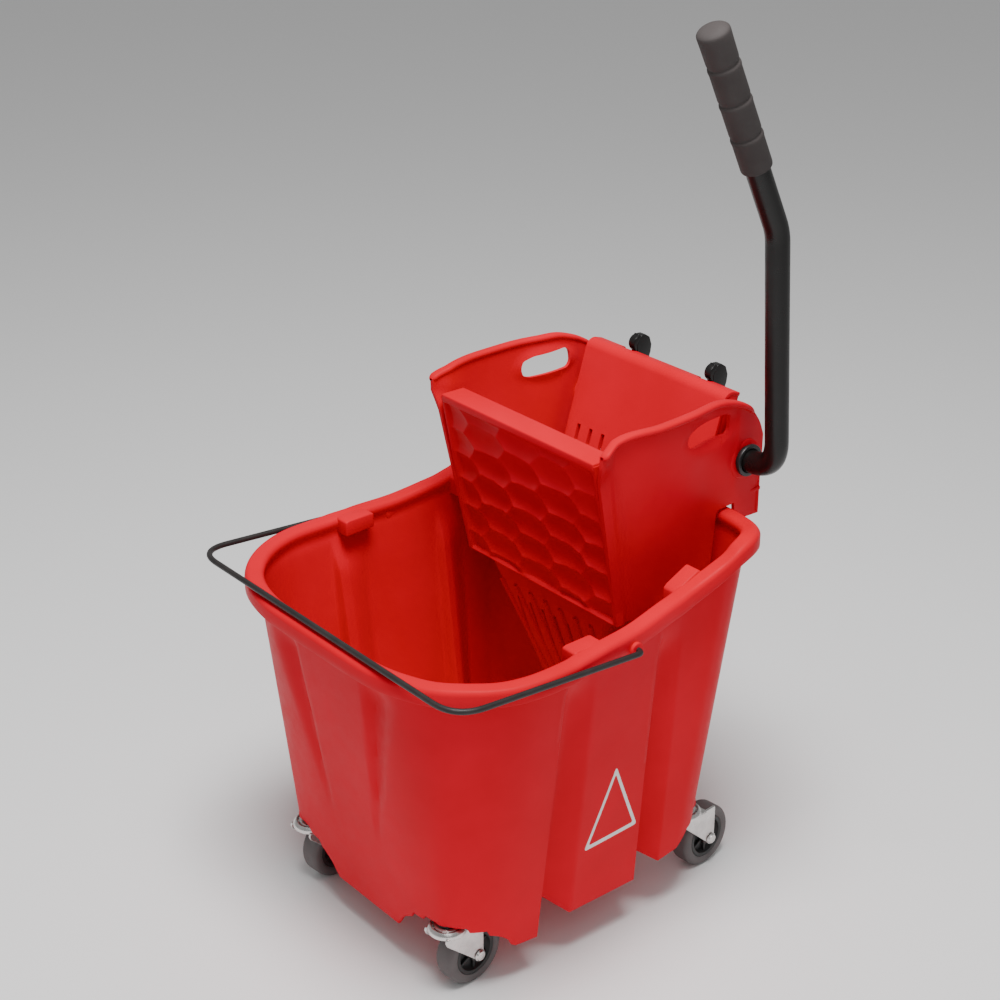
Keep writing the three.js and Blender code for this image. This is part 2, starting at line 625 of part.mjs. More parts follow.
add('bucket_shell', bucketShell(), RED);
for (const [place, x, y] of CASTERS) {
  add(`caster_socket_${place}`, casterSocket().translate([x, y, 0]), BLACK_PLASTIC);
  add(`caster_stem_${place}`, placeCaster(casterStem(), x, y), ZINC);
  add(`caster_fork_${place}`, placeCaster(casterFork(), x, y), ZINC);
  add(`wheel_tread_${place}`, placeCaster(wheelTread(), x, y), TREAD);
  add(`wheel_hub_${place}`, placeCaster(wheelHub(), x, y), BLACK_PLASTIC);
  add(`axle_bolt_${place}`, placeCaster(axleBolt(), x, y), ZINC);
  add(`axle_nut_${place}`, placeCaster(axleNut(), x, y), ZINC);
}
add('bail_wire', bailWire(), WIRE);
add('wringer_frame', wringerFrame(), RED);
add('drain_hopper', drainHopper(), RED);
add('press_plate', pressPlate(), RED);
add('plate_hinge_pin', bar('x', 4, -118, 118, PIVOT, 16), ZINC);
add('lever_tube', tube(leverPath(), 34, TUBE_R, TUBE_BORE, 6), BLACK_PAINT);
add('lever_grip', leverGrip(), GRIP);
add('torque_shaft', torqueShaft(), ZINC);
add('shaft_bush', shaftBush(), BLACK_PLASTIC);
add('shaft_cap', shaftCap(), BLACK_PLASTIC);
add('crank_arm_right', crankArm(ARM_X), BLACK_PAINT);
add('crank_arm_left', crankArm(-ARM_X), BLACK_PAINT);
add('return_spring_right', returnSpring(ARM_X + 12, ARM_X + 34), ZINC);
add('return_spring_left', returnSpring(-ARM_X - 34, -ARM_X - 12), ZINC);

export default assembly;
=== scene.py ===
"""Looks for the mop bucket with side-press wringer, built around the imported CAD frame.

Shapes are worked out in millimetres with Y measured from the middle of the bucket's long sides,
as in the part's own drawing; place() turns them into metres in the row frame.
"""

import math

import bmesh
import bpy
import numpy as np
from mathutils import Euler, Matrix, Vector


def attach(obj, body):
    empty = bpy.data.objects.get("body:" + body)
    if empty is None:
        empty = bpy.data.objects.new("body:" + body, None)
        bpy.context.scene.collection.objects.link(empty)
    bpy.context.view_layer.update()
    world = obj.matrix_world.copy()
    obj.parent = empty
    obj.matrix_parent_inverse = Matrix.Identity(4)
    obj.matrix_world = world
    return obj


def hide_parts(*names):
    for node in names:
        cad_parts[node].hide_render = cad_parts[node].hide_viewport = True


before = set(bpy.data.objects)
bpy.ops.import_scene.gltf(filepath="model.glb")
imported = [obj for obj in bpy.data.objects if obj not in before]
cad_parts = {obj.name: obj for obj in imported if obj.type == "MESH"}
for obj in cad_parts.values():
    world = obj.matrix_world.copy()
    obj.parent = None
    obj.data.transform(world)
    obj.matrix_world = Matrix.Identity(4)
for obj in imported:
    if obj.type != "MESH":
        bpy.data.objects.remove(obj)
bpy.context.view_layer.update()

MM = 0.001
SHIFT_Y = 15                     # the drawing's Y zero sits this far behind the row's origin
PLACES = {
    "front_right": (118, -189), "front_left": (-118, -189),
    "rear_right": (118, 133), "rear_left": (-118, 133),
}

# ---------------------------------------------------------------- driving sizes
RIM = [(0, -256, 374), (44, -256, 374), (88, -254, 374), (125, -246, 375), (154, -232, 375), (178, -211, 376),
       (198, -182, 376), (208, -150, 377), (209, -104, 378), (208, -92, 379), (206, -74, 380),
       (205, -62, 381),
       (201, -18, 383), (196, 26, 390), (195, 38, 392), (194.5, 50, 395), (194, 60, 398), (198, 90, 412),
       (203, 112, 427), (201, 132, 433), (190, 150, 432), (170, 166, 428), (146, 177, 424), (120, 183, 422),
       (60, 187, 418), (0, 188, 418)]
FOOT = [(0, -200), (34, -200), (68, -200), (98, -199), (121, -196), (136, -186), (147, -168), (153, -140),
        (155, -104), (155, -92), (155, -74), (155, -62), (155, -18), (155, 26), (155, 38), (155, 50),
        (155, 60),
        (155, 76), (154, 90), (148, 106), (137, 119), (121, 130), (101, 138), (81, 142), (40, 144), (0, 144)]
FOOT_EDGE = [(-300, 45), (-131, 45), (-104, 43), (-101, 76), (-97, 80), (-90, 80), (-62, 54), (26, 54),
             (29, 74), (32, 79), (38, 79), (60, 63), (84, 68), (100, 85), (300, 85)]
CASTER_ROOM = [(24, 83.6), (24.5, 78), (41, 77), (41.5, 70.5), (46, 68.5), (54, 63), (60.5, 56), (65, 46),
               (65.5, 20)]
FOOT_Z = 45
FLOOR_UNDER = 86
FLOOR_TOP = 90
WALL = 4
LIP_OVERHANG = 12
LIP_DROP = 18
GROOVES = [(-104, -62), (26, 60)]
GROOVE_STEEP = 6                 # width of a groove's steep side, nearer the free end
GROOVE_SLANT = 0.62              # share of a groove's width taken by its slanting side
STEPS = 8                        # stations between two outline points

SHAFT = (195, 473)
PIVOT = (127.5, 344)
PLATE_LEAN = math.radians(17)
LEVER_X = 165
GRIP_LOW = np.array([LEVER_X, 142.5, 792])
GRIP_TOP = np.array([LEVER_X, 76, 928])
ARM_X = 57
ARM_R = 72
ARM_LEAN = math.radians(11.25)

AXLE_HOLE_R = 4.3
WHEEL_R = 35
WHEEL_W = 24
HUB_R = 24.3
TRAIL = 28
TRAIL_TURN = 5
FORK_IN = 14
FORK_OUT = 16.5
CROWN = 71.5

BAIL_PIVOT = (-26, 366)
BAIL_FRONT = (-249, 379.5)
BAIL_X = 212.5


# ---------------------------------------------------------------- shape tools: a shape is (points, faces)
def merge(*shapes):
    points, faces, base = [], [], 0
    for p, f in shapes:
        points.append(np.asarray(p, float))
        faces += [tuple(i + base for i in face) for face in f]
        base += len(p)
    return np.vstack(points), faces


def skin(loops, wrap=False, caps=True):
    """Quads over a stack of equal closed loops."""
    loops = np.asarray(loops, float)
    rows, count = loops.shape[:2]
    faces = []
    for j in range(rows if wrap else rows - 1):
        a, b = j * count, ((j + 1) % rows) * count
        faces += [(a + i, a + (i + 1) % count, b + (i + 1) % count, b + i) for i in range(count)]
    if caps and not wrap:
        faces.append(tuple(range(count))[::-1])
        faces.append(tuple((rows - 1) * count + i for i in range(count)))
    return loops.reshape(-1, 3), faces


def two_sheets(outer, inner):
    """Closes two equal grids of points, (rows, columns, 3), round their common border."""
    rows, n = outer.shape[:2]
    at = lambda s, j, i: s * rows * n + j * n + i
    faces = []
    for j in range(rows - 1):
        for i in range(n - 1):
            faces.append((at(0, j, i), at(0, j, i + 1), at(0, j + 1, i + 1), at(0, j + 1, i)))
            faces.append((at(1, j, i), at(1, j + 1, i), at(1, j + 1, i + 1), at(1, j, i + 1)))
    border = [(0, i) for i in range(n)] + [(j, n - 1) for j in range(1, rows)]
    border += [(rows - 1, i) for i in range(n - 2, -1, -1)] + [(j, 0) for j in range(rows - 2, 0, -1)]
    for k, (j, i) in enumerate(border):
        j2, i2 = border[(k + 1) % len(border)]
        faces.append((at(0, j, i), at(1, j, i), at(1, j2, i2), at(0, j2, i2)))
    return np.vstack([outer.reshape(-1, 3), inner.reshape(-1, 3)]), faces


def turned(profile, sides=64, wrap=False):
    """Turned about Z from (r, z) points; wrap closes the profile on itself as a ring."""
    a = np.linspace(0, 2 * math.pi, sides, endpoint=False)
    loops = [np.stack([r * np.cos(a), r * np.sin(a), np.full(sides, z)], 1) for r, z in profile]
    return skin(loops, wrap=wrap)


def bar(axis, r, a0, a1, c, sides=48, edge=0.6, r1=None):
    """Round bar along X or Z with eased ends; c holds the other two coordinates."""
    r1 = r if r1 is None else r1
    e = min(edge, r * 0.4)
    shape = turned([(r - e, a0), (r - 0.3 * e, a0 + 0.3 * e), (r, a0 + e), (r1, a1 - e),
                    (r1 - 0.3 * e, a1 - 0.3 * e), (r1 - e, a1)], sides)
    if axis == "z":
        return move(shape, (c[0], c[1], 0))
    return move(turn(shape, "Y", 90), (0, c[0], c[1]))


def turn(shape, axis, degrees):
    m = np.array(Matrix.Rotation(math.radians(degrees), 3, axis))
    return shape[0] @ m.T, shape[1]


def move(shape, by):
    return shape[0] + np.array(by, float), shape[1]


def mirror(shape):
    return shape[0] * (-1, 1, 1), [tuple(reversed(f)) for f in shape[1]]


def both(shape):
    return merge(shape, mirror(shape))


def of_bmesh(bm):
    bmesh.ops.recalc_face_normals(bm, faces=bm.faces[:])
    bm.verts.index_update()
    shape = np.array([v.co for v in bm.verts], float), [tuple(v.index for v in f.verts) for f in bm.faces]
    bm.free()
    return shape


def to_bmesh(shape):
    bm = bmesh.new()
    verts = [bm.verts.new(p) for p in shape[0]]
    for face in shape[1]:
        bm.faces.new([verts[i] for i in face])
    bmesh.ops.recalc_face_normals(bm, faces=bm.faces[:])
    return bm


def eased(shape, width, steps=3, angle=30):
    """Rounds every edge sharper than the angle."""
    bm = to_bmesh(shape)
    limit = math.radians(angle)
    edges = [e for e in bm.edges if len(e.link_faces) == 2 and e.calc_face_angle(0) > limit]
    bmesh.ops.bevel(bm, geom=edges, offset=width, segments=steps, profile=0.5, affect="EDGES",
                    clamp_overlap=True)
    return of_bmesh(bm)


def block(x0, x1, y0, y1, z0, z1, edge=1.0):
    bm = bmesh.new()
    bmesh.ops.create_cube(bm, size=1)
    for v in bm.verts:
        v.co = ((x0 + x1) / 2 + v.co.x * (x1 - x0), (y0 + y1) / 2 + v.co.y * (y1 - y0),
                (z0 + z1) / 2 + v.co.z * (z1 - z0))
    if edge > 0:
        bmesh.ops.bevel(bm, geom=bm.edges[:], offset=edge, segments=3, profile=0.5, affect="EDGES")
    return of_bmesh(bm)


def slab(outline, x0, x1, edge=0.8):
    """A YZ outline pushed along X, with its edges rounded unless edge is 0."""
    shape = skin([[(x, y, z) for y, z in outline] for x in (x0, x1)])
    return eased(shape, edge) if edge > 0 else shape


def tube(points, radius, sides=28, loop=False):
    """Round tube along points; radius may be one number or one for each point."""
    p = np.asarray(points, float)
    r = np.broadcast_to(radius, len(p))
    t = np.gradient(p, axis=0)
    t /= np.linalg.norm(t, axis=1)[:, None]
    n = np.cross(t[0], (0.3, 0.5, 0.81))
    a = np.linspace(0, 2 * math.pi, sides, endpoint=False)
    loops = []
    for k in range(len(p)):
        n = n - t[k] * (n @ t[k])
        n /= np.linalg.norm(n)
        b = np.cross(t[k], n)
        loops.append(p[k] + r[k] * (np.outer(np.cos(a), n) + np.outer(np.sin(a), b)))
    return skin(loops)


def dome_ends(points, r, steps=4):
    """Extra points and radii that round off both ends of a tube."""
    p = np.asarray(points, float)
    first, last = p[0] - p[1], p[-1] - p[-2]
    first, last = first / np.linalg.norm(first), last / np.linalg.norm(last)
    a = [math.pi / 2 * (k + 0.3) / (steps + 0.3) for k in range(steps, -1, -1)]
    head = [p[0] + first * r * math.sin(x) * 0.6 for x in a]
    tail = [p[-1] + last * r * math.sin(x) * 0.6 for x in reversed(a)]
    radii = [r * math.cos(x) for x in a]
    return np.vstack([head, p, tail]), radii + [r] * len(p) + radii[::-1]


def bent_path(points, bends, steps=14):
    """Straight stretches joined by bends, as the part's own path is."""
    points = [np.array(p, float) for p in points]
    path = [points[0]]
    for k in range(1, len(points) - 1):
        corner = points[k]
        into = corner - points[k - 1]
        out = points[k + 1] - corner
        into, out = into / np.linalg.norm(into), out / np.linalg.norm(out)
        back = bends[k - 1] * math.tan(math.acos(np.clip(into @ out, -1, 1)) / 2)
        a, b = corner - into * back, corner + out * back
        for w in np.linspace(0, 1, steps):
            path.append((1 - w) ** 2 * a + 2 * w * (1 - w) * corner + w * w * b)
    path.append(points[-1])
    return dense(path)


def dense(path, pitch=8):
    """Adds points on long straight stretches."""
    full = [path[0]]
    for p in path[1:]:
        n = max(1, int(np.linalg.norm(p - full[-1]) / pitch))
        start = full[-1]
        full += [start + (p - start) * k / n for k in range(1, n + 1)]
    return np.array(full)


def modified(shape, build):
    """The shape after the modifiers that build(obj) adds."""
    mesh = bpy.data.meshes.new("work")
    mesh.from_pydata(shape[0].tolist(), [], shape[1])
    obj = bpy.data.objects.new("work", mesh)
    bpy.context.scene.collection.objects.link(obj)
    build(obj)
    bpy.context.view_layer.update()
    done = obj.evaluated_get(bpy.context.evaluated_depsgraph_get()).to_mesh()
    result = (np.array([v.co for v in done.vertices], float), [tuple(f.vertices) for f in done.polygons])
    bpy.data.objects.remove(obj)
    bpy.data.meshes.remove(mesh)
    return result


def carved(shape, *cutters):
    """The shape with every cutter taken away."""
    tool = merge(*cutters)
    mesh = bpy.data.meshes.new("cutter")
    mesh.from_pydata(tool[0].tolist(), [], tool[1])
    bm = bmesh.new()
    bm.from_mesh(mesh)
    bmesh.ops.recalc_face_normals(bm, faces=bm.faces[:])
    bm.to_mesh(mesh)
    bm.free()
    other = bpy.data.objects.new("cutter", mesh)
    bpy.context.scene.collection.objects.link(other)

    def build(obj):
        work = bmesh.new()
        work.from_mesh(obj.data)
        bmesh.ops.recalc_face_normals(work, faces=work.faces[:])
        work.to_mesh(obj.data)
        work.free()
        cut = obj.modifiers.new("cut", "BOOLEAN")
        cut.operation = "DIFFERENCE"
        cut.solver = "EXACT"
        cut.object = other

    result = modified(shape, build)
    bpy.data.objects.remove(other)
    bpy.data.meshes.remove(mesh)
    return result


def along(knots, x):
    return np.interp(x, [k[0] for k in knots], [k[1] for k in knots])


def smooth(t):
    t = np.clip(t, 0, 1)
    return t * t * (3 - 2 * t)


def eased_line(t):
    """A straight ramp from 0 to 1 with softened ends."""
    t = np.clip(t, 0, 1)
    return 0.75 * t + 0.25 * t * t * (3 - 2 * t)


def spline(knots, x):
    """Smooth curve through (x, value) knots with no overshoot."""
    k = np.array(knots, float)
    h = np.diff(k[:, 0])
    d = np.diff(k[:, 1]) / h
    m = np.concatenate([[d[0]], (d[:-1] + d[1:]) / 2, [d[-1]]])
    flat = np.concatenate([[False], d[:-1] * d[1:] <= 0, [False]])
    m[flat] = 0
    x = np.clip(x, k[0, 0], k[-1, 0])
    i = np.clip(np.searchsorted(k[:, 0], x, side="right") - 1, 0, len(h) - 1)
    t = (x - k[i, 0]) / h[i]
    return ((1 + 2 * t) * (1 - t) ** 2 * k[i, 1] + t * (1 - t) ** 2 * h[i] * m[i]
            + t * t * (3 - 2 * t) * k[i + 1, 1] + t * t * (t - 1) * h[i] * m[i + 1])


# ---------------------------------------------------------------- materials
def noise(nodes, links, coords, scale, detail=3.0, roughness=0.5):
    node = nodes.new("ShaderNodeTexNoise")
    node.inputs["Scale"].default_value = scale
    node.inputs["Detail"].default_value = detail
    node.inputs["Roughness"].default_value = roughness
    links.new(coords, node.inputs["Vector"])
    return node.outputs["Fac"]


def ramp(nodes, links, value, low, high, a, b):
    """Maps value from low..high to a..b."""
    node = nodes.new("ShaderNodeMapRange")
    node.inputs["From Min"].default_value = low
    node.inputs["From Max"].default_value = high
    node.inputs["To Min"].default_value = a
    node.inputs["To Max"].default_value = b
    links.new(value, node.inputs["Value"])
    return node.outputs["Result"]


def finish(name, dark, light, rough, grain, patch=7.0, grain_size=1400.0, streak=None, metal=0.0,
           specular=0.5):
    """Shaded from a broad patchiness in colour, a varying roughness and a fine moulded or worked grain."""
    material = bpy.data.materials.new(name)
    material.use_nodes = True
    nodes, links = material.node_tree.nodes, material.node_tree.links
    shader = nodes["Principled BSDF"]
    shader.inputs["Metallic"].default_value = metal
    shader.inputs["Specular IOR Level"].default_value = specular
    coords = nodes.new("ShaderNodeTexCoord").outputs["Object"]
    broad = noise(nodes, links, coords, patch, 4.0, 0.55)
    mix = nodes.new("ShaderNodeMix")
    mix.data_type = "RGBA"
    mix.inputs["A"].default_value = (*dark, 1)
    mix.inputs["B"].default_value = (*light, 1)
    links.new(ramp(nodes, links, broad, 0.3, 0.7, 0.0, 1.0), mix.inputs["Factor"])
    links.new(mix.outputs["Result"], shader.inputs["Base Color"])
    scuff = noise(nodes, links, coords, 55.0, 6.0, 0.65)
    links.new(ramp(nodes, links, scuff, 0.35, 0.7, rough[0], rough[1]), shader.inputs["Roughness"])
    source = coords
    if streak is not None:
        stretch = nodes.new("ShaderNodeMapping")
        stretch.inputs["Scale"].default_value = streak
        links.new(coords, stretch.inputs["Vector"])
        source = stretch.outputs["Vector"]
    fine = noise(nodes, links, source, grain_size, 2.0, 0.5)
    bump = nodes.new("ShaderNodeBump")
    bump.inputs["Strength"].default_value = grain
    bump.inputs["Distance"].default_value = 0.0004
    links.new(fine, bump.inputs["Height"])
    links.new(bump.outputs["Normal"], shader.inputs["Normal"])
    return material


RED = finish("red_polypropylene", (0.60, 0.001, 0.013), (0.70, 0.0018, 0.020), (0.36, 0.48), 0.12,
             specular=0.05)
BLACK_PAINT = finish("black_powder_coat", (0.006, 0.0055, 0.005), (0.010, 0.009, 0.009), (0.26, 0.38), 0.22,
                     grain_size=1000.0, specular=0.3)
GRIP = finish("grey_grip", (0.040, 0.033, 0.032), (0.052, 0.044, 0.043), (0.62, 0.78), 0.5, patch=20.0,
              grain_size=1700.0, specular=0.3)
BLACK_PLASTIC = finish("black_nylon", (0.010, 0.010, 0.010), (0.018, 0.017, 0.017), (0.38, 0.5), 0.3)
TREAD = finish("grey_tread_rubber", (0.115, 0.100, 0.100), (0.150, 0.132, 0.132), (0.6, 0.75), 0.5,
               patch=30.0, specular=0.3)
ZINC = finish("zinc_plate", (0.55, 0.53, 0.52), (0.74, 0.72, 0.70), (0.22, 0.38), 0.25, patch=45.0, metal=1.0)
STEEL = finish("drawn_steel", (0.36, 0.36, 0.36), (0.48, 0.48, 0.47), (0.25, 0.4), 0.3, metal=1.0,
               streak=(0.08, 1.0, 1.0))
WIRE = finish("dark_coated_wire", (0.014, 0.012, 0.012), (0.026, 0.022, 0.021), (0.38, 0.5), 0.5, patch=40.0,
              specular=0.35)
INK = finish("white_print", (0.74, 0.72, 0.71), (0.82, 0.80, 0.79), (0.45, 0.6), 0.2, patch=60.0)


def place(name, body, material, shape, stands_for=(), crease=38):
    """Makes the piece in metres in the row frame, smooth except across real edges."""
    mesh = bpy.data.meshes.new(name)
    points = (np.asarray(shape[0], float) + (0, SHIFT_Y, 0)) * MM
    mesh.from_pydata(points.tolist(), [], shape[1])
    bm = bmesh.new()
    bm.from_mesh(mesh)
    bmesh.ops.recalc_face_normals(bm, faces=bm.faces[:])
    bm.to_mesh(mesh)
    bm.free()
    mesh.shade_smooth()
    mesh.set_sharp_from_angle(angle=math.radians(crease))
    mesh.materials.append(material)
    obj = bpy.data.objects.new(name, mesh)
    bpy.context.scene.collection.objects.link(obj)
    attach(obj, body)
    if stands_for:
        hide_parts(*stands_for)
    return obj


# ---------------------------------------------------------------- bucket
def outline(half):
    """Points and outward normals of the closed curve through half a list and its mirror image."""
    right = [np.array((*p, 0.0)[:3], float) for p in half]
    pts = np.array(right + [p * (-1, 1, 1) for p in right[-2:0:-1]])
    out = []
    for k in range(len(pts)):
        p = [pts[(k + j) % len(pts)] for j in (-1, 0, 1, 2)]
        d = [np.linalg.norm(p[j + 1] - p[j]) ** 0.5 for j in range(3)]
        m1 = ((p[1] - p[0]) / d[0] - (p[2] - p[0]) / (d[0] + d[1]) + (p[2] - p[1]) / d[1]) * d[1]
        m2 = ((p[2] - p[1]) / d[1] - (p[3] - p[1]) / (d[1] + d[2]) + (p[3] - p[2]) / d[2]) * d[1]
        for w in np.arange(STEPS) / STEPS:
            out.append(p[1] + m1 * w + (3 * (p[2] - p[1]) - 2 * m1 - m2) * w * w
                       + (2 * (p[1] - p[2]) + m1 + m2) * w ** 3)
    out = np.array(out)
    t = np.roll(out, -1, 0) - np.roll(out, 1, 0)
    n = np.stack([t[:, 1], -t[:, 0]], 1)
    return out, n / np.linalg.norm(n, axis=1)[:, None]


RIM_P, RIM_N = outline(RIM)
FOOT_P, FOOT_N = outline(FOOT)


def hollow(x, y, z):
    """How far the wall is set in: two grooves on each long side, two tapering hollows in the free end."""
    fade = smooth((356 - z) / 36)
    side = np.abs(x) > 120
    deep = 19 - 12 * np.clip((z - 60) / 290, 0, 1)
    total = np.zeros_like(x)
    for y0, y1 in GROOVES:
        steep = smooth((y - y0) / GROOVE_STEEP)
        slant = eased_line((y1 - y) / (GROOVE_SLANT * (y1 - y0)))
        total += deep * steep * slant * side
    inner = 36 + 17 * np.clip((z - 126) / 207, 0, 1)
    outer = 36 + 81 * np.clip((z - 126) / 230, 0, 1)
    width = np.maximum(outer - inner, 1e-3)
    u = (np.abs(x) - inner) / width
    bowl = 0.16 * width * smooth(4 * u) * smooth(1.25 * (1 - u))
    total += np.where((y < -150) & ~side & (u > 0) & (u < 1) & (width > 1), bowl, 0)
    return fade * total


def wall_at(z, inset):
    """One loop of the wall at height z (one number or one for each station), set in by inset."""
    z = np.broadcast_to(z, len(RIM_P)).astype(float)
    t = ((z - FOOT_Z) / (RIM_P[:, 2] - FOOT_Z))[:, None]
    n = FOOT_N + (RIM_N - FOOT_N) * t
    p = FOOT_P[:, :2] + (RIM_P[:, :2] - LIP_OVERHANG * RIM_N - FOOT_P[:, :2]) * t
    into = (inset + hollow(p[:, 0], p[:, 1], z))[:, None]
    return np.column_stack([p - into * n, z])


def rim_at(inward, down):
    return np.column_stack([RIM_P[:, :2] - inward * RIM_N, RIM_P[:, 2] - down])


def foot_edge():
    """Height of the skirt's lower edge, arched over the room that each caster sweeps."""
    low = np.asarray(along(FOOT_EDGE, FOOT_P[:, 1]))
    middle = wall_at(60.0, 2)
    for x, y in PLACES.values():
        reach = np.hypot(middle[:, 0] - x, middle[:, 1] - y)
        low = np.maximum(low, np.where(reach < 65.5, along(CASTER_ROOM, reach), 0))
    return np.minimum(low, FLOOR_UNDER - 1)


def bucket():
    edge = foot_edge()
    top = RIM_P[:, 2]
    level = lambda f, inset: wall_at(94 + (top - 22 - 94) * f, inset)
    loops = [wall_at(FLOOR_UNDER, WALL), wall_at(edge + 1.0, WALL), wall_at(edge + 0.2, WALL - 0.8),
             wall_at(edge, WALL / 2), wall_at(edge + 0.2, 0.8), wall_at(edge + 1.0, 0),
             wall_at((edge + 90) / 2, 0)]
    loops += [level(f, 0) for f in np.linspace(0, 1, 34)]
    loops += [rim_at(LIP_OVERHANG + 0.2, 12), rim_at(LIP_OVERHANG, 7.5), rim_at(LIP_OVERHANG - 1.2, 5.2),
              rim_at(LIP_OVERHANG - 3.2, 4.4), rim_at(5.2, 4.6), rim_at(3.8, 5.6), rim_at(3.2, 7.5),
              rim_at(3.2, LIP_DROP - 1), rim_at(2.6, LIP_DROP - 0.2), rim_at(1.6, LIP_DROP),
              rim_at(0.6, LIP_DROP - 0.2), rim_at(0, LIP_DROP - 1.2), rim_at(0, 11)]
    loops += [rim_at(6 - 6 * math.cos(a), 6 - 6 * math.sin(a)) for a in np.linspace(0, math.pi / 2, 8)]
    loops += [rim_at(9, -0.35), rim_at(12, -0.2)]
    loops += [rim_at(14 + 6 * math.sin(a), 6.2 - 6.2 * math.cos(a)) for a in np.linspace(0, math.pi / 2, 8)]
    loops += [rim_at(19.6, 9), rim_at(18.2, 12.5), rim_at(17, 16)]
    loops += [level(f, WALL) for f in np.linspace(1, 0.06, 30)]
    loops += [wall_at(FLOOR_TOP + 12 * (1 - math.sin(a)), WALL + 12 * (1 - math.cos(a)))
              for a in np.linspace(0, math.pi / 2, 7)]
    shell = skin(loops)
    # a boss rises from the floor over each caster's stem
    boss = turned([(12.4, 84), (13, 86), (10.8, 109), (10, 111.2), (8.8, 112), (2, 112)], 40)
    bosses = [move(boss, (x, y, 0))
              for x, y in PLACES.values()]
    keeper = slab([(-93, 362), (-57, 364), (-57, 379.4), (-61, 380.6), (-89, 380), (-93, 378.4)],
                  173, 192, 1.6)
    guide = slab([(47, 372), (81, 385), (81, 404.5), (77, 407), (51, 394.5), (47, 391)], 161, 179.5, 1.8)
    ledge = block(160, 176, 82, 106, 320, 334, 1.2)
    web = slab([(90, 322), (98, 322), (94, 286)], 160, 172, 0.6)
    ear = bar("x", 7, 184, 206, BAIL_PIVOT)
    place("bucket", "bucket", RED,
          merge(shell, *bosses, both(keeper), both(guide), both(ledge), both(web), both(ear)),
          ["bucket_shell"])


def plain_triangle():
    """A plain white triangle outline printed on the near middle column."""
    corners = [np.array(c, float) for c in ((-18, 218), (21, 130), (-52, 128))]
    centre = sum(corners) / 3

    def ring(scale, round_by):
        pts = []
        tri = [centre + (c - centre) * scale for c in corners]
        for k in range(3):
            a, c, b = tri[k - 1], tri[k], tri[(k + 1) % 3]
            start = c + (a - c) / np.linalg.norm(a - c) * round_by
            end = c + (b - c) / np.linalg.norm(b - c) * round_by
            before = c + (a - c) * 0.5
            pts += [before + (start - before) * w for w in np.linspace(0, 1, 10, endpoint=False)]
            pts += [(1 - w) ** 2 * start + 2 * w * (1 - w) * c + w * w * end for w in np.linspace(0, 1, 9)]
            after = c + (b - c) * 0.5
            pts += [end + (after - end) * w for w in np.linspace(0, 1, 11)[1:-1]]
        return pts

    def on_wall(points, lift):
        out = []
        for y, z in points:
            near = np.argmin(np.abs(FOOT_P[:, 1] - y) + (FOOT_P[:, 0] < 0) * 1e3)
            t = (z - FOOT_Z) / (RIM_P[near, 2] - FOOT_Z)
            x = FOOT_P[near, 0] + (RIM_P[near, 0] - LIP_OVERHANG - FOOT_P[near, 0]) * t
            out.append((x + lift, y, z))
        return np.array(out)

    def printed(outer, inner):
        return skin([on_wall(outer, 0.02), on_wall(outer, 0.28), on_wall(inner, 0.28), on_wall(inner, 0.02)],
                    wrap=True)

    place("plain_triangle", "bucket", INK,
          printed(ring(1.0, 5), ring(0.84, 3.4)))


# ---------------------------------------------------------------- bail
def bail():
    (py, pz), (fy, fz) = BAIL_PIVOT, BAIL_FRONT
    path = bent_path([(198, py, pz), (BAIL_X, py, pz), (BAIL_X, fy, fz), (-BAIL_X, fy, fz), (-BAIL_X, py, pz),
                      (-198, py, pz)], [7, 34, 34, 7], 18)
    points, radii = dome_ends(path, 3.0)
    place("bail", "bail", WIRE, tube(points, radii, 20), ["bail_wire"])


# ---------------------------------------------------------------- wringer
WALL_TOP = [(-10, 534), (5, 541), (20, 545), (65, 546), (110, 547), (140, 547), (155, 546), (170, 542),
            (185, 536), (200, 526.5), (212, 514), (220, 503), (226, 490)]
WALL_LOW = [(-10, 521), (28, 335), (148, 335), (153, 346), (156, 372), (158, 424), (161, 425.5), (186, 425.5),
            (187.5, 405), (226, 401)]
WALL_X_TOP = [(-10, 127), (5, 128), (20, 129), (65, 134), (110, 132), (140, 127), (170, 125), (200, 121),
              (226, 115)]
WALL_X_LOW = [(-10, 117), (148, 117), (226, 113)]
PANEL_TOP = 521
PANEL_LOW = 335
PANEL_HALF = 118
PANEL_FRONT = [28, -8]           # Y of the panel's outer face at its foot and at its top
PANEL_BACK = [37, 21]
PIN_HOLE_R = 4.3
SHAFT_HOLE_R = 14.2
PLATE_HALF = 104


def side_x(y, z):
    """Outer face of a side wall, with its crease, dish, rear cheek and front flare."""
    low_x = along(WALL_X_LOW, y)
    base = low_x + (spline(WALL_X_TOP, y) - low_x) * np.clip((z - PANEL_LOW) / 205, 0, 1)
    front = np.interp(z, [PANEL_LOW, PANEL_TOP], PANEL_FRONT)
    crease = -2.2 * smooth(1 - np.abs(y - front - 17) / 8) * smooth((515 - z) / 30)
    dish = -3.2 * smooth(1.9 * (1 - np.hypot((y - 137) / 46, (z - 518) / 21)))
    cheek = 1.0 * smooth((y - 176) / 8) * smooth((z - 430) / 30)
    flare = 6 * smooth((12 - y) / 20) * smooth((z - 500) / 22)
    return base + crease + dish + cheek + flare


